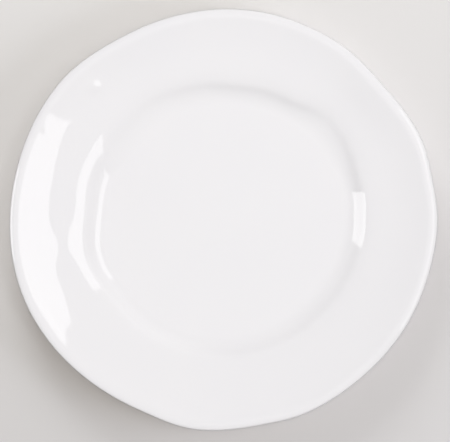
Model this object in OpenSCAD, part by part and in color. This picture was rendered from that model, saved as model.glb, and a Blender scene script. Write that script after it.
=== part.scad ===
// Round dinner plate of glazed white porcelain, pressed in one piece.
// Its section is a chain of tangent arcs: floor, cove, wall, shoulder, flared rim, rolled lip and foot ring.
// The section is swept round the plate. The foot ring is truly round, and the floor, the wall and the edge
// wander a little from true circles, as hand-shaped ware does.
// The plate stands on the plane z = 0, with the middle of its foot ring at the origin and +Z up.

/* [Plate] */
// Mean diameter across the edge of the rim
plate_d = 270; // [250:1:300]
// Thickness of the body under the floor of the well
floor_t = 5; // [4:0.1:6.5]
// Thickness of the rim where its lip begins
rim_t = 3.8; // [3:0.1:4.5]

/* [Well] */
// Mean diameter of the flat floor
floor_d = 152; // [140:1:160]
// Radius of the cove that turns the floor up into the wall
cove_r = 20; // [14:1:24]
// Slope of the wall at its steepest, in degrees
wall_slope = 32; // [24:1:38]
// Radius of the brow on top of the wall
brow_r = 15; // [8:1:20]

/* [Rim] */
// Slope where the brow runs out into the shoulder of the rim, in degrees
shoulder_slope = 15; // [12:1:20]
// Radius of the shoulder
shoulder_r = 65; // [40:5:90]
// Slope of the rim at its flattest, in degrees
rim_slope = 9.5; // [5:0.5:11.5]
// Width of the flattest band of the rim
rim_band_w = 8; // [2:0.5:14]
// Slope of the flared rim where its lip begins, in degrees
flare_slope = 17; // [14:0.5:21]

/* [Lip] */
// Radius of the soft roll on top of the lip
lip_roll_r = 9.5; // [7:0.5:12]
// Angle that the top of the lip rolls through before its nose turns under
lip_roll_turn = 33; // [28:1:40]

/* [Foot ring] */
// Height that the foot ring holds the body off the table
foot_h = 3.2; // [2.8:0.1:5]
// Width of the flat that the plate stands on
foot_flat_w = 2.6; // [1.5:0.1:4]
// Distance of the middle of that flat inside the edge of the floor
foot_inset = 9.5; // [9:0.5:25]
// Slope of the sides of the foot ring, in degrees
foot_slope = 75; // [60:1:85]
// Radius of its two lower edges
foot_edge_r = 0.9; // [0.5:0.1:1.2]
// Radius of the fillets at its two roots
foot_root_r = 1.3; // [0.8:0.1:1.8]

/* [Hand shaping] */
// How far the floor, the wall and the edge wander from true circles, where 1 is the plate's own shape
wander = 1; // [0:0.1:1.5]
// Share of the floor's wander that the underside follows, outside the truly round foot ring
under_share = 0.5; // [0:0.1:0.5]
// How far the rim lifts and dips round the plate, where 1 is the plate's own shape
lift = 1; // [0:0.1:1.5]

/* [Hidden] */

// Steps round the plate
AROUND = 90;

// Where the edge bulges or draws in: degrees round from +X, and millimetres out from its mean circle
EDGE_WANDER = [
    [0, 2.1], [12, 1.2], [20, 2], [41, -1.5], [57, -0.1], [76, -0.2], [117, -1.9], [141, 1],
    [166, 0.5], [198, 1.8], [246, -2.1], [262, 0.2], [281, -1.5], [293, -0.3], [307, -0.7], [340, 0.8],
];
// The same for the brow on top of the wall
BROW_WANDER = [
    [12, 2.6], [42, 7], [62, 0], [85, -1.3], [102, 0.3], [122, 2.2], [138, 0.6], [150, 1],
    [162, 0.1], [175, -1.4], [196, 1.2], [220, -1.6], [250, -1], [310, -0.8], [340, 1], [359, 2],
];
// The same for the edge of the floor
FLOOR_WANDER = [
    [13, 3.8], [32, 2.4], [85, -2], [108, -2.2], [136, -6.6], [148, -6], [160, -1.9], [177, -1.6],
    [196, 2.2], [216, -0.8], [320, -1.4], [344, 0.2], [358, 1.7],
];
// Where the edge of the rim lifts or dips: degrees round from +X, and millimetres up from its mean height
RIM_LIFT = [[27, 0.5], [75, -0.3], [122, 0.5], [165, -0.3], [195, 0.3], [228, -0.6], [275, 0], [325, 0.6]];

floor_r = floor_d / 2;
floor_z = foot_h + floor_t;

// Radius of the lip's nose, which brings the lip round to the thickness of the rim
nose_r = (rim_t - lip_roll_r * (1 - cos(lip_roll_turn))) / (1 + cos(lip_roll_turn));
// Slope of the lip where its nose begins, and the width of the whole lip
nose_slope = flare_slope - lip_roll_turn;
lip_w = lip_roll_r * (sin(flare_slope) - sin(nose_slope)) + nose_r * (1 + sin(nose_slope));
lip_start_r = plate_d / 2 - lip_w;

// Radii at which the wall and the flattest band of the rim end, and of the arc that flares on to the lip
wall_end_r = floor_r + cove_r * sin(wall_slope) + brow_r * (sin(wall_slope) - sin(shoulder_slope));
band_end_r = wall_end_r + shoulder_r * (sin(shoulder_slope) - sin(rim_slope)) + rim_band_w;
flare_r = (lip_start_r - band_end_r) / (sin(flare_slope) - sin(rim_slope));

// Length of the straight flank between the root and the edge of the foot ring
foot_flank = (foot_h - (foot_root_r + foot_edge_r) * (1 - cos(foot_slope))) / sin(foot_slope);
// Half the width of the foot ring at its root, and the radius of its outer root
foot_half_w = foot_flat_w / 2 + (foot_root_r + foot_edge_r) * sin(foot_slope) + foot_flank * cos(foot_slope);
foot_end_r = floor_r - foot_inset + foot_half_w;

// A stretch of the section is [turn, radius, steps] for an arc, where a turn to the left is above 0,
// or [0, length, steps] for a straight run
UPPER_FACE = [
    [wall_slope, cove_r, 6],
    [shoulder_slope - wall_slope, brow_r, 4],
    [rim_slope - shoulder_slope, shoulder_r, 4],
    [0, rim_band_w / cos(rim_slope), 2],
    [flare_slope - rim_slope, flare_r, 8],
];
LIP = [
    [-lip_roll_turn, lip_roll_r, 4],
    [lip_roll_turn - 180, nose_r, 6],
];
FOOT_RING = [
    [foot_slope, foot_root_r, 2],
    [0, foot_flank, 1],
    [-foot_slope, foot_edge_r, 2],
    [0, foot_flat_w, 1],
    [-foot_slope, foot_edge_r, 2],
    [0, foot_flank, 1],
    [foot_slope, foot_root_r, 2],
];

// A station of the section is [radius, height, heading].
// The station after one at a share of a stretch, from 0 to 1
function along(from, stretch, share) =
    let (
        h0 = from[2],
        h1 = h0 + stretch[0] * share,
        size = stretch[1],
        straight = stretch[0] == 0,
        out = straight ? size * share * cos(h0) : sign(stretch[0]) * size * (sin(h1) - sin(h0)),
        up = straight ? size * share * sin(h0) : sign(stretch[0]) * size * (cos(h0) - cos(h1))
    )
    [from[0] + out, from[1] + up, h1];

// Every station of a chain of stretches, with the one that it starts from
function chain(stretches, from, k = 0) =
    k == len(stretches)
        ? [from]
        : let (steps = stretches[k][2])
          concat(
              [for (i = [0 : steps - 1]) along(from, stretches[k], i / steps)],
              chain(stretches, along(from, stretches[k], 1), k + 1)
          );

// The last station of a chain
function last(stations) = stations[len(stations) - 1];

upper = chain(UPPER_FACE, [floor_r, floor_z, 0]);
lip = chain(LIP, last(upper));
foot = chain(FOOT_RING, [foot_end_r, foot_h, 180]);

// The station of the underside that lies across the body from one of the upper face,
// where the body thickens evenly from the lip to the floor
function beneath(station) =
    let (
        inward = (lip_start_r - station[0]) / (lip_start_r - floor_r),
        t = rim_t + (floor_t - rim_t) * inward,
        h = station[2]
    )
    [station[0] + t * sin(h), station[1] - t * cos(h), h + 180];

// The underside follows every second station of the upper face, from the lip back to the floor
under = [for (i = [len(upper) - 1 : -2 : 0]) beneath(upper[i])];
// The lip shares its first station with the upper face
SECTION = concat(upper, [for (i = [1 : len(lip) - 1]) lip[i]], under, foot);

// A soft step from 0 to 1
function ease(t) =
    let (s = max(0, min(1, t)))
    s * s * (3 - 2 * s);

// The value at an angle of a wave that eases from knot to knot round the plate
function wave(knots, angle) =
    let (
        passed = len([for (knot = knots) if (knot[0] <= angle) knot]),
        from = passed == 0 ? last(knots) - [360, 0] : knots[passed - 1],
        to = passed == len(knots) ? knots[0] + [360, 0] : knots[passed]
    )
    from[1] + (to[1] - from[1]) * ease((angle - from[0]) / (to[0] - from[0]));

// How far a radius lies on the way from one radius to another, from 0 to 1
function way(radius, from, to) = max(0, min(1, (radius - from) / (to - from)));

// How far a radius of the section moves out at an angle. The foot ring stays put, the edge of the floor,
// the brow and the lip follow their own outlines, and between them one outline goes into the next.
function out_at(radius, floor_out, brow_out, edge_out) =
    floor_out * ease(way(radius, foot_end_r, floor_r))
        + (brow_out - floor_out) * ease(way(radius, floor_r, wall_end_r))
        + (edge_out - brow_out) * ease(way(radius, wall_end_r, lip_start_r));

module plate() {
    n = len(SECTION);
    rings = [
        for (j = [0 : AROUND - 1])
            let (
                angle = 360 * j / AROUND,
                floor_out = wander * wave(FLOOR_WANDER, angle),
                brow_out = wander * wave(BROW_WANDER, angle),
                edge_out = wander * wave(EDGE_WANDER, angle),
                edge_up = lift * wave(RIM_LIFT, angle)
            )
            for (station = SECTION)
                let (
                    // Stations of the underside head back inwards
                    below = station[2] > 90,
                    follows = floor_out * (below ? under_share : 1),
                    radius = station[0] + out_at(station[0], follows, brow_out, edge_out),
                    across = way(station[0], wall_end_r, lip_start_r)
                )
                [radius * cos(angle), radius * sin(angle), station[1] + edge_up * across * across]
    ];
    // The middle of the floor and the middle of the underside close the body
    floor_mid = len(rings);
    under_mid = floor_mid + 1;
    sides = [
        for (j = [0 : AROUND - 1], k = [0 : n - 2])
            let (
                here = j * n + k,
                next = (j + 1) % AROUND * n + k
            )
            each [[here, next, next + 1], [here, next + 1, here + 1]]
    ];
    floor_fan = [for (j = [0 : AROUND - 1]) [floor_mid, (j + 1) % AROUND * n, j * n]];
    under_fan = [for (j = [0 : AROUND - 1]) [under_mid, j * n + n - 1, (j + 1) % AROUND * n + n - 1]];
    color("white")
        polyhedron(
            points = concat(rings, [[0, 0, floor_z], [0, 0, foot_h]]),
            faces = concat(sides, floor_fan, under_fan),
            convexity = 6
        );
}

plate();
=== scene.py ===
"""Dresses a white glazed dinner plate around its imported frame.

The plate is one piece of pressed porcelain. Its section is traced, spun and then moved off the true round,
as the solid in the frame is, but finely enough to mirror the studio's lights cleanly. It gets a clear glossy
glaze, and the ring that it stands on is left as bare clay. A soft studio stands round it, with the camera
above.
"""

import logging
from dataclasses import dataclass, field
from enum import Enum
from math import cos, pi, radians, sin

import bpy
import numpy as np
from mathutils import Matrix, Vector

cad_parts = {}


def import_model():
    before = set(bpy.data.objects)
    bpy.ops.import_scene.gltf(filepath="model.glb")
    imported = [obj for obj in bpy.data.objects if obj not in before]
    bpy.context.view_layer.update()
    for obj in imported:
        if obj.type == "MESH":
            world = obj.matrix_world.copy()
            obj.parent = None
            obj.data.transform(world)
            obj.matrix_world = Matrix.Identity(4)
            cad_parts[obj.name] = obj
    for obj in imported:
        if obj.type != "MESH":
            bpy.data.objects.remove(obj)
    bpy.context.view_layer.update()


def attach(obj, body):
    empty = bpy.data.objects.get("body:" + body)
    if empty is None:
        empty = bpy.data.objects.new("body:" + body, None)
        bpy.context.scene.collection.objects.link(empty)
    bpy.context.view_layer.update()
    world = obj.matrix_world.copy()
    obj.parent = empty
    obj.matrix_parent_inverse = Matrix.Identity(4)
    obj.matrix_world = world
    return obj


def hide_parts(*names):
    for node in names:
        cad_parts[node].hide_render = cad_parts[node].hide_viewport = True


LOG = logging.getLogger("plate")

MM = 0.001

# A station of the plate's section: its radius and height in millimetres, and its heading in degrees
Station = tuple[float, float, float]


def linear(hex_colour: str) -> tuple[float, float, float, float]:
    """Turns an sRGB hex colour into the linear colour that shaders take.

    Args:
        hex_colour: Six hex digits, without a sign before them.

    Returns:
        The linear red, green and blue, and an alpha of 1.
    """
    channels = [int(hex_colour[i:i + 2], 16) / 255 for i in (0, 2, 4)]
    return (*[c / 12.92 if c <= 0.04045 else ((c + 0.055) / 1.055) ** 2.4 for c in channels], 1.0)


def add_node(
    tree: bpy.types.NodeTree,
    kind: str,
    settings: dict[str, object] | None = None,
    inputs: dict[str | int, object] | None = None,
) -> bpy.types.Node:
    """Adds a node with its settings, its values and its links.

    Args:
        tree: The node tree that takes the node.
        kind: Blender's name for the kind of node.
        settings: The node's own properties, by name.
        inputs: What each input takes, by its name or place: a value, or the output socket to link to it.

    Returns:
        The new node.
    """
    node = tree.nodes.new(kind)
    for name, value in (settings or {}).items():
        setattr(node, name, value)
    for name, value in (inputs or {}).items():
        if isinstance(value, bpy.types.NodeSocket):
            tree.links.new(value, node.inputs[name])
        else:
            node.inputs[name].default_value = value
    return node


def new_tree(material: bpy.types.Material) -> bpy.types.NodeTree:
    """Gives a material an empty node tree.

    Args:
        material: The new material.

    Returns:
        Its node tree, with no nodes.
    """
    material.use_nodes = True
    material.node_tree.nodes.clear()
    return material.node_tree


@dataclass(frozen=True)
class ClearGlaze:
    """Feldspar glaze, fired glossy over white porcelain.

    To the eye it is a milky white under clear glass: lights mirror in it with hard edges, and those edges
    run a little unevenly, because the glaze flowed as it melted.
    """

    # The white body, under thin glaze and under thick
    colour: str = "F6F4F5"
    thick_colour: str = "F4F2F4"
    roughness: float = 0.035
    ior: float = 1.5
    # Width of the faint drifts in the body's white, and the finer drifts within them
    drift_mm: float = 45.0
    drift_detail: float = 2.0
    drift_grain: float = 0.4
    # Width and height of the ripples that the glaze set with, and the finer ripples within them
    ripple_mm: float = 14.0
    ripple_height_mm: float = 0.012
    ripple_detail: float = 1.0
    ripple_grain: float = 0.3

    def material(self) -> bpy.types.Material:
        """Makes the material of the glazed faces.

        Returns:
            The new material.
        """
        material = bpy.data.materials.new("clear_glaze_on_porcelain")
        tree = new_tree(material)
        place = add_node(tree, "ShaderNodeTexCoord").outputs["Object"]
        drift = add_node(
            tree,
            "ShaderNodeTexNoise",
            inputs={
                "Vector": place,
                "Scale": 1 / (self.drift_mm * MM),
                "Detail": self.drift_detail,
                "Roughness": self.drift_grain,
            },
        )
        white = add_node(
            tree,
            "ShaderNodeMix",
            {"data_type": "RGBA"},
            {"Factor": drift.outputs["Fac"], "A": linear(self.colour), "B": linear(self.thick_colour)},
        )
        ripple = add_node(
            tree,
            "ShaderNodeTexNoise",
            inputs={
                "Vector": place,
                "Scale": 1 / (self.ripple_mm * MM),
                "Detail": self.ripple_detail,
                "Roughness": self.ripple_grain,
            },
        )
        bump = add_node(
            tree,
            "ShaderNodeBump",
            inputs={"Height": ripple.outputs["Fac"], "Distance": self.ripple_height_mm * MM},
        )
        shader = add_node(
            tree,
            "ShaderNodeBsdfPrincipled",
            inputs={"Roughness": self.roughness, "IOR": self.ior, "Normal": bump.outputs["Normal"]},
        )
        tree.links.new([s for s in white.outputs if s.type == "RGBA"][0], shader.inputs["Base Color"])
        add_node(tree, "ShaderNodeOutputMaterial", inputs={"Surface": shader.outputs["BSDF"]})
        return material


@dataclass(frozen=True)
class BareClay:
    """Porcelain fired without glaze, where the plate stood on the kiln shelf.

    To the eye it is dry, dull and a little warmer than the glaze, with the fine tooth of the clay.
    """

    colour: str = "E6E1D8"
    worn_colour: str = "CFC8BC"
    roughness: float = 0.8
    # Width and height of the clay's tooth, drawn coarser than its grains so that it shows
    tooth_mm: float = 0.8
    tooth_height_mm: float = 0.05
    tooth_detail: float = 3.0
    # Width of the worn patches
    mottle_mm: float = 6.0
    mottle_detail: float = 4.0

    def material(self) -> bpy.types.Material:
        """Makes the material of the foot's standing ring.

        Returns:
            The new material.
        """
        material = bpy.data.materials.new("bare_fired_clay")
        tree = new_tree(material)
        place = add_node(tree, "ShaderNodeTexCoord").outputs["Object"]
        mottle = add_node(
            tree,
            "ShaderNodeTexNoise",
            inputs={"Vector": place, "Scale": 1 / (self.mottle_mm * MM), "Detail": self.mottle_detail},
        )
        clay = add_node(
            tree,
            "ShaderNodeMix",
            {"data_type": "RGBA"},
            {"Factor": mottle.outputs["Fac"], "A": linear(self.colour), "B": linear(self.worn_colour)},
        )
        tooth = add_node(
            tree,
            "ShaderNodeTexNoise",
            inputs={"Vector": place, "Scale": 1 / (self.tooth_mm * MM), "Detail": self.tooth_detail},
        )
        bump = add_node(
            tree,
            "ShaderNodeBump",
            inputs={"Height": tooth.outputs["Fac"], "Distance": self.tooth_height_mm * MM},
        )
        shader = add_node(
            tree,
            "ShaderNodeBsdfPrincipled",
            inputs={"Roughness": self.roughness, "Normal": bump.outputs["Normal"]},
        )
        tree.links.new([s for s in clay.outputs if s.type == "RGBA"][0], shader.inputs["Base Color"])
        add_node(tree, "ShaderNodeOutputMaterial", inputs={"Surface": shader.outputs["BSDF"]})
        return material


@dataclass(frozen=True)
class PalePaper:
    """Matt paper backdrop under the plate.

    To the eye it is a pale warm grey. Its colour is darker towards the near edge, as painted shade of the
    light falling off there.
    """

    # The paper's own colour, and a darker colour towards the near edge that is painted shade
    far_colour: str = "E0DFDF"
    near_painted_shade_colour: str = "DAD9DA"
    # How far before and behind the plate's middle the paper goes from one colour to the other
    fade_m: float = 0.16
    roughness: float = 0.9
    # Paper mirrors far less than the shader's usual 0.5
    mirror_level: float = 0.1

    def material(self) -> bpy.types.Material:
        """Makes the material of the floor.

        Returns:
            The new material.
        """
        material = bpy.data.materials.new("pale_backdrop_paper")
        tree = new_tree(material)
        place = add_node(tree, "ShaderNodeTexCoord").outputs["Object"]
        across = add_node(tree, "ShaderNodeSeparateXYZ", inputs={"Vector": place}).outputs["Y"]
        share = add_node(
            tree,
            "ShaderNodeMapRange",
            inputs={"Value": across, "From Min": -self.fade_m, "From Max": self.fade_m},
        )
        # Painted shade: the paper grades to a darker colour towards the near edge
        paper = add_node(
            tree,
            "ShaderNodeMix",
            {"data_type": "RGBA"},
            {"Factor": share.outputs["Result"], "A": linear(self.near_painted_shade_colour), "B": linear(self.far_colour)},
        )
        shader = add_node(
            tree,
            "ShaderNodeBsdfPrincipled",
            inputs={"Roughness": self.roughness, "Specular IOR Level": self.mirror_level},
        )
        tree.links.new([s for s in paper.outputs if s.type == "RGBA"][0], shader.inputs["Base Color"])
        add_node(tree, "ShaderNodeOutputMaterial", inputs={"Surface": shader.outputs["BSDF"]})
        return material


def portion(value: np.ndarray, start: float, end: float) -> np.ndarray:
    """How far each value lies on the way from the start to the end, from 0 to 1."""
    return np.clip((value - start) / (end - start), 0.0, 1.0)


def ease(way: np.ndarray) -> np.ndarray:
    """A soft step from 0 to 1."""
    return way * way * (3 - 2 * way)


@dataclass(frozen=True)
class Wave:
    """A measure that eases from knot to knot round the plate.

    Each knot is an angle in degrees round from +X and a value in millimetres there.
    """

    knots: tuple[tuple[float, float], ...]

    def at(self, degrees: np.ndarray) -> np.ndarray:
        """Reads the wave.

        Args:
            degrees: The angles, from 0 to 360.

        Returns:
            The wave's value at each angle, in millimetres.
        """
        angles = np.array([knot[0] for knot in self.knots])
        values = np.array([knot[1] for knot in self.knots])
        angles = np.concatenate([[angles[-1] - 360], angles, [angles[0] + 360]])
        values = np.concatenate([[values[-1]], values, [values[0]]])
        start = np.clip(np.searchsorted(angles, degrees, side="right") - 1, 0, len(angles) - 2)
        way = (degrees - angles[start]) / (angles[start + 1] - angles[start])
        return values[start] + (values[start + 1] - values[start]) * ease(way)


@dataclass(frozen=True)
class Swell:
    """A low mound or hollow that the hand left in the upper face.

    Attributes:
        degrees: Its angle round from +X.
        radius_mm: How far its middle lies from the plate's centre.
        long_mm: Its reach round the plate.
        wide_mm: Its reach across the rim.
        height_mm: How far it stands up, or down where it is below 0.
    """

    degrees: float
    radius_mm: float
    long_mm: float
    wide_mm: float
    height_mm: float

    def lift(self, degrees: np.ndarray, radius_mm: np.ndarray) -> np.ndarray:
        """Tells how far this swell lifts each point.

        Args:
            degrees: Each point's angle round from +X.
            radius_mm: How far each point lies from the plate's axis.

        Returns:
            The lift of each point, in millimetres.
        """
        turn = (degrees - self.degrees + 180) % 360 - 180
        along = np.radians(turn) * self.radius_mm / self.long_mm
        across = (radius_mm - self.radius_mm) / self.wide_mm
        return self.height_mm * np.exp(-(along ** 2) - across ** 2)


@dataclass
class Section:
    """The plate's section, a chain of tangent arcs, with the sizes that the solid in the frame has."""

    # The whole plate, and the thickness of its body under the floor and where the lip begins
    plate_d: float = 270.0
    floor_t: float = 5.0
    rim_t: float = 3.8
    # The well, up to the brow on top of its wall
    floor_d: float = 152.0
    cove_r: float = 20.0
    wall_slope: float = 32.0
    brow_r: float = 15.0
    # The shoulder and the flared rim
    shoulder_slope: float = 15.0
    shoulder_r: float = 65.0
    rim_slope: float = 9.5
    rim_band_w: float = 8.0
    flare_slope: float = 17.0
    # The rolled lip
    lip_roll_r: float = 9.5
    lip_roll_turn: float = 33.0
    # The foot ring
    foot_h: float = 3.2
    foot_flat_w: float = 2.6
    foot_inset: float = 9.5
    foot_slope: float = 75.0
    foot_edge_r: float = 0.9
    foot_root_r: float = 1.3
    # The longest step along the section, and the largest turn in one step
    step_mm: float = 1.3
    turn_step: float = 8.0
    # Rings of points on the flat floor of the well, and on the flat underside within the foot
    floor_rings: int = 4
    recess_rings: int = 3
    # Sizes that follow from the others
    floor_r: float = field(init=False)
    floor_z: float = field(init=False)
    nose_r: float = field(init=False)
    lip_start_r: float = field(init=False)
    wall_end_r: float = field(init=False)
    flare_r: float = field(init=False)
    foot_flank: float = field(init=False)
    foot_half_w: float = field(init=False)
    foot_end_r: float = field(init=False)

    def __post_init__(self) -> None:
        """Works out the sizes that follow from the others, as the solid in the frame does."""
        roll = radians(self.lip_roll_turn)
        flare = radians(self.flare_slope)
        nose_slope = flare - roll
        rim = radians(self.rim_slope)
        wall = radians(self.wall_slope)
        shoulder = radians(self.shoulder_slope)
        foot = radians(self.foot_slope)
        self.floor_r = self.floor_d / 2
        self.floor_z = self.foot_h + self.floor_t
        self.nose_r = (self.rim_t - self.lip_roll_r * (1 - cos(roll))) / (1 + cos(roll))
        lip_w = self.lip_roll_r * (sin(flare) - sin(nose_slope)) + self.nose_r * (1 + sin(nose_slope))
        self.lip_start_r = self.plate_d / 2 - lip_w
        self.wall_end_r = (
            self.floor_r + self.cove_r * sin(wall) + self.brow_r * (sin(wall) - sin(shoulder))
        )
        band_end_r = self.wall_end_r + self.shoulder_r * (sin(shoulder) - sin(rim)) + self.rim_band_w
        self.flare_r = (self.lip_start_r - band_end_r) / (sin(flare) - sin(rim))
        bend_drop = (self.foot_root_r + self.foot_edge_r) * (1 - cos(foot))
        self.foot_flank = (self.foot_h - bend_drop) / sin(foot)
        self.foot_half_w = (
            self.foot_flat_w / 2
            + (self.foot_root_r + self.foot_edge_r) * sin(foot)
            + self.foot_flank * cos(foot)
        )
        self.foot_end_r = self.floor_r - self.foot_inset + self.foot_half_w

    def stretch(self, start: Station, turn: float, size: float) -> list[Station]:
        """Follows one arc or straight run.

        Args:
            start: The station where it begins.
            turn: The angle that it turns to the left, or 0 for a straight run.
            size: The arc's radius, or the straight run's length.

        Returns:
            The stations after the start.
        """
        length = size if turn == 0 else abs(radians(turn)) * size
        steps = max(1, round(length / self.step_mm), round(abs(turn) / self.turn_step))
        side = 1 if turn > 0 else -1
        heading = radians(start[2])
        stations = []
        for i in range(1, steps + 1):
            ahead = heading + radians(turn) * i / steps
            if turn == 0:
                out, up = size * i / steps * cos(heading), size * i / steps * sin(heading)
            else:
                out = side * size * (sin(ahead) - sin(heading))
                up = side * size * (cos(heading) - cos(ahead))
            stations.append((start[0] + out, start[1] + up, start[2] + turn * i / steps))
        return stations

    def chain(self, start: Station, stretches: list[tuple[float, float]]) -> list[Station]:
        """Follows a chain of stretches.

        Args:
            start: The station where it begins.
            stretches: The turn and the size of each arc or straight run, as stretch takes them.

        Returns:
            Its stations, the start included.
        """
        stations = [start]
        for turn, size in stretches:
            stations += self.stretch(stations[-1], turn, size)
        return stations

    def beneath(self, station: Station) -> Station:
        """Crosses the body, which thickens evenly from the lip to the floor.

        Args:
            station: A station of the upper face.

        Returns:
            The station of the underside that lies across from it.
        """
        inward = (self.lip_start_r - station[0]) / (self.lip_start_r - self.floor_r)
        thick = self.rim_t + (self.floor_t - self.rim_t) * inward
        slope = radians(station[2])
        return (station[0] + thick * sin(slope), station[1] - thick * cos(slope), station[2] + 180)

    def upper_face(self) -> list[Station]:
        """Traces the upper face.

        Returns:
            Its stations, from the edge of the floor to where the lip begins.
        """
        return self.chain(
            (self.floor_r, self.floor_z, 0.0),
            [
                (self.wall_slope, self.cove_r),
                (self.shoulder_slope - self.wall_slope, self.brow_r),
                (self.rim_slope - self.shoulder_slope, self.shoulder_r),
                (0, self.rim_band_w / cos(radians(self.rim_slope))),
                (self.flare_slope - self.rim_slope, self.flare_r),
            ],
        )

    def is_above(self, radius: np.ndarray, height: np.ndarray) -> np.ndarray:
        """Tells which points lie nearer the upper face than the underside.

        Args:
            radius: How far each point lies from the plate's axis, in millimetres.
            height: How high each point lies, in millimetres.

        Returns:
            True for each point of the upper face and of the lip's top.
        """
        face = self.upper_face()
        face_height = np.interp(radius, [station[0] for station in face], [station[1] for station in face])
        return height > face_height - self.rim_t / 2

    def outline(self) -> list[tuple[float, float]]:
        """Traces the whole section.

        Returns:
            The radius and height of each point in millimetres, from the middle of the floor over the lip to
            the middle of the underside.
        """
        upper = self.upper_face()
        lip = self.chain(
            upper[-1],
            [(-self.lip_roll_turn, self.lip_roll_r), (self.lip_roll_turn - 180, self.nose_r)],
        )
        under = [self.beneath(station) for station in reversed(upper)]
        foot = self.chain(
            (self.foot_end_r, self.foot_h, 180.0),
            [
                (self.foot_slope, self.foot_root_r),
                (0, self.foot_flank),
                (-self.foot_slope, self.foot_edge_r),
                (0, self.foot_flat_w),
                (-self.foot_slope, self.foot_edge_r),
                (0, self.foot_flank),
                (self.foot_slope, self.foot_root_r),
            ],
        )
        floor = [(self.floor_r * i / self.floor_rings, self.floor_z) for i in range(self.floor_rings)]
        inward = reversed(range(self.recess_rings))
        recess = [(foot[-1][0] * i / self.recess_rings, self.foot_h) for i in inward]
        return floor + [(s[0], s[1]) for s in upper + lip[1:] + under + foot] + recess


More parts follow.
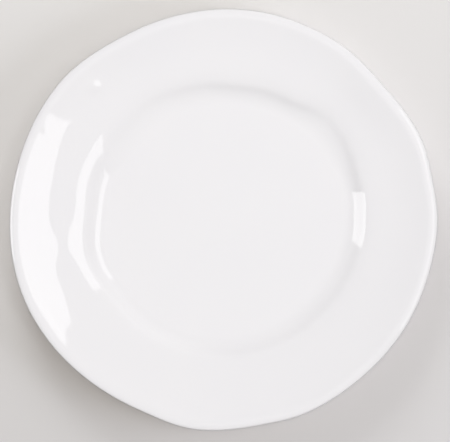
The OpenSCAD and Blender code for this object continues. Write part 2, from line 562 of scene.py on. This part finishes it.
@dataclass
class Plate:
    """The whole plate: one piece of porcelain with its glaze and its bare standing ring."""

    section: Section = field(default_factory=Section)
    glaze: ClearGlaze = field(default_factory=ClearGlaze)
    clay: BareClay = field(default_factory=BareClay)
    steps_round: int = 480
    # Points closer together than this are one
    merge_mm: float = 0.005
    # How far up the foot the glaze stops
    bare_height_mm: float = 0.7
    # Where the edge of the plate bulges or draws in
    edge: Wave = Wave(
        (
            (0, 2.1), (12, 1.2), (20, 2.0), (41, -1.5), (57, -0.1), (76, -0.2), (117, -1.9), (141, 1.0),
            (166, 0.5), (198, 1.8), (246, -2.1), (262, 0.2), (281, -1.5), (293, -0.3), (307, -0.7),
            (340, 0.8),
        )
    )
    # The same for the brow on top of the wall
    brow: Wave = Wave(
        (
            (12, 2.6), (42, 7.0), (62, 0.0), (85, -1.3), (102, 0.3), (122, 2.2), (138, 0.6), (150, 1.0),
            (162, 0.1), (175, -1.4), (196, 1.2), (220, -1.6), (250, -1.0), (310, -0.8), (340, 1.0),
            (359, 2.0),
        )
    )
    # The same for the edge of the floor
    floor: Wave = Wave(
        (
            (13, 3.8), (32, 2.4), (85, -2.0), (108, -2.2), (136, -6.6), (148, -6.0), (160, -1.9),
            (177, -1.6), (196, 2.2), (216, -0.8), (320, -1.4), (344, 0.2), (358, 1.7),
        )
    )
    # Share of the floor's wander that the underside follows, outside the truly round foot ring
    under_share: float = 0.5
    # Where the edge of the rim lifts or dips
    rim_lift: Wave = Wave(
        ((27, 0.5), (75, -0.3), (122, 0.5), (165, -0.3), (195, 0.3), (228, -0.6), (275, 0.0), (325, 0.6))
    )
    swells: tuple[Swell, ...] = (
        # On the wall
        Swell(146, 84, 14, 6, 0.3),
        Swell(160, 79, 12, 3.5, -0.3),
        Swell(191, 79.5, 20, 4, 0.2),
        # On the shoulder
        Swell(150, 93.5, 9, 4, 0.12),
        Swell(187, 100, 10, 5.5, 0.25),
        # On the rim
        Swell(151, 108, 14, 10, 0.2),
        Swell(166, 113, 24, 6, -0.12),
        Swell(188, 112.5, 7, 6.5, 0.36),
        Swell(197, 112, 8, 7, -0.2),
        Swell(226, 118, 16, 9, 0.25),
        # Where the lip begins
        Swell(152.5, 127, 4, 1.6, 0.25),
        Swell(211, 127.5, 15, 2.5, 0.25),
    )
    # The drop of glaze that set on the rim
    pip: Swell = Swell(134.1, 117.7, 4.2, 4.2, 0.58)

    def spin_section(self) -> bpy.types.Object:
        """Traces the section point by point and spins it round the plate's axis.

        Returns:
            The new object, with its doubles merged and its faces outwards.
        """
        points = [Vector((r * MM, 0.0, z * MM)) for r, z in self.section.outline()]
        bpy.ops.object.select_all(action="DESELECT")
        bpy.ops.mesh.primitive_plane_add(size=MM, location=(0, 0, 0))
        plate = bpy.context.active_object
        plate.name = plate.data.name = "glazed_plate"
        bpy.ops.object.mode_set(mode="EDIT")
        bpy.ops.mesh.select_all(action="SELECT")
        bpy.ops.mesh.merge(type="CENTER")
        bpy.ops.transform.translate(value=points[0])
        for before, after in zip(points, points[1:]):
            bpy.ops.mesh.extrude_region_move(TRANSFORM_OT_translate={"value": after - before})
        bpy.ops.mesh.select_all(action="SELECT")
        bpy.ops.mesh.spin(steps=self.steps_round, angle=2 * pi, center=(0, 0, 0), axis=(0, 0, 1))
        bpy.ops.mesh.select_all(action="SELECT")
        bpy.ops.mesh.remove_doubles(threshold=self.merge_mm * MM)
        bpy.ops.mesh.normals_make_consistent(inside=False)
        bpy.ops.object.mode_set(mode="OBJECT")
        return plate

    def shape_by_hand(self, plate: bpy.types.Object) -> None:
        """Moves the mesh's points off the true round, as the hand left them.

        Args:
            plate: The spun plate.
        """
        mesh = plate.data
        points = np.empty(len(mesh.vertices) * 3)
        mesh.vertices.foreach_get("co", points)
        points = points.reshape(-1, 3) / MM
        radius = np.hypot(points[:, 0], points[:, 1])
        angle = np.arctan2(points[:, 1], points[:, 0])
        degrees = np.degrees(angle) % 360
        section = self.section
        above = section.is_above(radius, points[:, 2])
        across = portion(radius, section.wall_end_r, section.lip_start_r)
        floor_out = self.floor.at(degrees) * np.where(above, 1.0, self.under_share)
        brow_out, edge_out = self.brow.at(degrees), self.edge.at(degrees)
        moved = (
            radius
            + floor_out * ease(portion(radius, section.foot_end_r, section.floor_r))
            + (brow_out - floor_out) * ease(portion(radius, section.floor_r, section.wall_end_r))
            + (edge_out - brow_out) * ease(across)
        )
        lift = self.rim_lift.at(degrees) * across ** 2
        for swell in (*self.swells, self.pip):
            lift += swell.lift(degrees, radius) * above
        points[:, 0] = moved * np.cos(angle)
        points[:, 1] = moved * np.sin(angle)
        points[:, 2] += lift
        mesh.vertices.foreach_set("co", (points * MM).ravel())
        mesh.update()

    def dress(self, plate: bpy.types.Object) -> None:
        """Glazes the plate all over but for the ring that it stands on, and smooths its shading.

        Args:
            plate: The shaped plate.
        """
        plate.data.materials.clear()
        plate.data.materials.append(self.glaze.material())
        plate.data.materials.append(self.clay.material())
        for face in plate.data.polygons:
            face.material_index = int(face.center.z < self.bare_height_mm * MM)
        bpy.ops.object.select_all(action="DESELECT")
        plate.select_set(True)
        bpy.context.view_layer.objects.active = plate
        bpy.ops.object.shade_smooth()

    def build(self) -> bpy.types.Object:
        """Builds the plate.

        Returns:
            The dressed plate, in place of the solid one.
        """
        plate = self.spin_section()
        self.shape_by_hand(plate)
        self.dress(plate)
        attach(plate, "root")
        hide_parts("plate")
        return plate


class Seen(Enum):
    """Whether a lamp shows in the glaze as a highlight, lights the clay and the paper, or does both."""

    MIRRORED = "both"
    ONLY_MIRRORED = "glossy"
    UNSEEN = "diffuse"


class Lit(Enum):
    """What a lamp falls on, where the studio's flags keep it off the rest."""

    ALL = "everything"
    PLATE = "plate"
    PAPER = "paper"


@dataclass(frozen=True)
class Panel:
    """A flat studio light.

    Attributes:
        name: What the lamp is called.
        turn: The direction that it stands in, in degrees round from +X.
        reach: How far it stands aside from the plate's axis, in metres.
        height: How high its middle hangs over the floor, in metres.
        wide: Its size round the plate, in metres.
        deep: Its size from above to below, in metres.
        pitch: How far its face leans from looking straight down, in degrees.
        glow: Its radiance, where 1 shows as white.
        seen: Whether the glaze mirrors it.
        lit: What it falls on.
        tint: The colour of its light.
    """

    name: str
    turn: float
    reach: float
    height: float
    wide: float
    deep: float
    pitch: float
    glow: float
    seen: Seen
    lit: Lit = Lit.ALL
    tint: str = "FFFFFF"

    def build(self, takers: dict[Lit, bpy.types.Collection]) -> bpy.types.Object:
        """Hangs the lamp.

        Args:
            takers: The objects that a lamp falls on where it doesn't fall on all of them.

        Returns:
            The lamp's object.
        """
        data = bpy.data.lights.new(self.name, "AREA")
        data.shape = "RECTANGLE"
        data.size = self.deep
        data.size_y = self.wide
        data.energy = self.glow * pi * self.wide * self.deep
        data.color = linear(self.tint)[:3]
        lamp = bpy.data.objects.new(self.name, data)
        bpy.context.scene.collection.objects.link(lamp)
        turn = radians(self.turn)
        lamp.location = (self.reach * cos(turn), self.reach * sin(turn), self.height)
        lamp.rotation_euler = (0.0, radians(self.pitch), turn)
        lamp.visible_glossy = self.seen is not Seen.UNSEEN
        lamp.visible_diffuse = self.seen is not Seen.ONLY_MIRRORED
        if self.lit in takers:
            lamp.light_linking.receiver_collection = takers[self.lit]
        return lamp


@dataclass(frozen=True)
class Patch:
    """A soft light patch of the room, which only shows as a faint sheen in the glaze.

    Attributes:
        turn: The direction that it lies in, in degrees round from +X.
        tilt: How far its middle lies off the vertical, in degrees.
        reach: How far it fades out from its middle, in degrees.
        glow: The radiance that it adds at its middle.
    """

    turn: float
    tilt: float
    reach: float
    glow: float

    def build(self, tree: bpy.types.NodeTree, way: bpy.types.NodeSocket) -> bpy.types.NodeSocket:
        """Draws the patch on the sky.

        Args:
            tree: The sky's node tree.
            way: The direction that the sky is seen in.

        Returns:
            The radiance that the patch adds in that direction.
        """
        turn, tilt = radians(self.turn), radians(self.tilt)
        middle = (sin(tilt) * cos(turn), sin(tilt) * sin(turn), cos(tilt))
        near = add_node(tree, "ShaderNodeVectorMath", {"operation": "DOT_PRODUCT"}, {0: way, 1: middle})
        fade = add_node(
            tree,
            "ShaderNodeMapRange",
            {"interpolation_type": "SMOOTHSTEP"},
            {
                "Value": near.outputs["Value"],
                "From Min": cos(radians(self.reach)),
                "From Max": 1.0,
                "To Max": self.glow,
            },
        )
        return fade.outputs["Result"]


@dataclass
class Studio:
    """The floor, the soft lights and the camera straight above."""

    paper: PalePaper = field(default_factory=PalePaper)
    # Half the width of the paper, in metres
    floor_half: float = 2.0
    # The even light of the sky on clay and paper
    sky: float = 0.28
    sky_colour: str = "FFFFFF"
    # The room as the glaze shows it: its darkest tone, and the patches that are lighter
    room: float = 0.1
    patches: tuple[Patch, ...] = (
        Patch(0, 0, 18, 0.2),
        Patch(250, 25, 35, 0.45),
        Patch(50, 55, 35, 0.6),
    )
    panels: tuple[Panel, ...] = (
        Panel("right_softbox", 2, 0.62, 1.78, 0.87, 1.25, 90, 2.3, Seen.MIRRORED),
        Panel("low_left_strip", 177.5, 0.9, 0.85, 0.395, 1.2, 90, 3.7, Seen.ONLY_MIRRORED),
        Panel("overhead_softbox", 0, 0, 1.1, 1.5, 1.5, 0, 1.35, Seen.UNSEEN, Lit.PLATE),
        Panel("right_key", 30, 0.92, 0.77, 0.5, 0.5, 50, 1.5, Seen.UNSEEN, Lit.PLATE),
        Panel("top_key", 70, 0.92, 0.77, 0.5, 0.5, 50, 1.9, Seen.UNSEEN, Lit.PLATE),
        Panel("paper_spot", 0, 0, 1.75, 0.2, 0.2, 0, 70, Seen.UNSEEN, Lit.PAPER, "FFF4E5"),
        Panel("paper_top_key", 104, 1.0, 0.47, 0.5, 0.5, 65, 7.8, Seen.UNSEEN, Lit.PAPER, "FBFDFE"),
        Panel("paper_right_key", -12, 1.0, 0.47, 0.5, 0.5, 65, 7.1, Seen.UNSEEN, Lit.PAPER, "F3F6FF"),
    )
    # The camera, in metres over the floor, and the width of its film
    camera_height: float = 1.8
    sensor_mm: float = 36.0
    # The photograph's frame, its scale at the height of the lip, and the pixel where the plate's origin shows
    frame_px: tuple[int, int] = (450, 442)
    mm_per_px: float = 0.639
    origin_px: tuple[float, float] = (222.7, 219.5)
    lip_height_mm: float = 20.0

    def lay_floor(self) -> bpy.types.Object:
        """Lays the floor under the plate.

        Returns:
            The floor's object.
        """
        bpy.ops.object.select_all(action="DESELECT")
        bpy.ops.mesh.primitive_plane_add(size=2 * self.floor_half, location=(0, 0, 0))
        floor = bpy.context.active_object
        floor.name = floor.data.name = "paper_floor"
        floor.data.materials.append(self.paper.material())
        return floor

    def paint_sky(self) -> None:
        """Lights the sky evenly, and paints it for the glaze as a dim room with softly lighter patches."""
        world = bpy.data.worlds.new("soft_studio")
        bpy.context.scene.world = world
        world.use_nodes = True
        world.node_tree.nodes.clear()
        tree = world.node_tree
        way = add_node(tree, "ShaderNodeTexCoord").outputs["Generated"]
        shown: float | bpy.types.NodeSocket = self.room
        for patch in self.patches:
            glow = patch.build(tree, way)
            total = add_node(tree, "ShaderNodeMath", {"operation": "ADD"}, {0: shown, 1: glow})
            shown = total.outputs["Value"]
        mirrored = add_node(tree, "ShaderNodeLightPath").outputs["Is Glossy Ray"]
        strength = add_node(tree, "ShaderNodeMix", inputs={"Factor": mirrored, "A": self.sky, "B": shown})
        sky = add_node(
            tree,
            "ShaderNodeBackground",
            inputs={"Color": linear(self.sky_colour), "Strength": strength.outputs["Result"]},
        )
        add_node(tree, "ShaderNodeOutputWorld", inputs={"Surface": sky.outputs["Background"]})

    def hang_panels(self, plate: bpy.types.Object, floor: bpy.types.Object) -> None:
        """Hangs the lamps.

        Args:
            plate: The dressed plate.
            floor: The paper under it.
        """
        takers = {}
        for lit, taker in ((Lit.PLATE, plate), (Lit.PAPER, floor)):
            takers[lit] = bpy.data.collections.new(f"lit_{lit.value}")
            takers[lit].objects.link(taker)
        for panel in self.panels:
            panel.build(takers)

    def place_camera(self) -> None:
        """Hangs the camera over the plate, where the photograph was taken from."""
        data = bpy.data.cameras.new("camera_above")
        frame_mm = self.frame_px[0] * self.mm_per_px
        data.sensor_width = self.sensor_mm
        data.lens = self.sensor_mm * (self.camera_height - self.lip_height_mm * MM) / (frame_mm * MM)
        camera = bpy.data.objects.new("camera_above", data)
        bpy.context.scene.collection.objects.link(camera)
        aside = (self.frame_px[0] / 2 - self.origin_px[0]) * self.mm_per_px * MM
        ahead = (self.origin_px[1] - self.frame_px[1] / 2) * self.mm_per_px * MM
        camera.location = (aside, ahead, self.camera_height)
        bpy.context.scene.camera = camera

    def build(self, plate: bpy.types.Object) -> None:
        """Sets up the whole studio.

        Args:
            plate: The dressed plate.
        """
        self.paint_sky()
        self.hang_panels(plate, self.lay_floor())
        self.place_camera()
        bpy.context.scene.view_settings.view_transform = "Standard"


def main() -> None:
    """Loads the frame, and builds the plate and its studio."""
    logging.basicConfig(level=logging.INFO, format="%(message)s")
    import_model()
    plate = Plate().build()
    LOG.info("%s: %d faces", plate.name, len(plate.data.polygons))
    studio = Studio()
    studio.build(plate)
    LOG.info("studio: %d lamps", len(studio.panels))


if __name__ == "__main__":
    main()
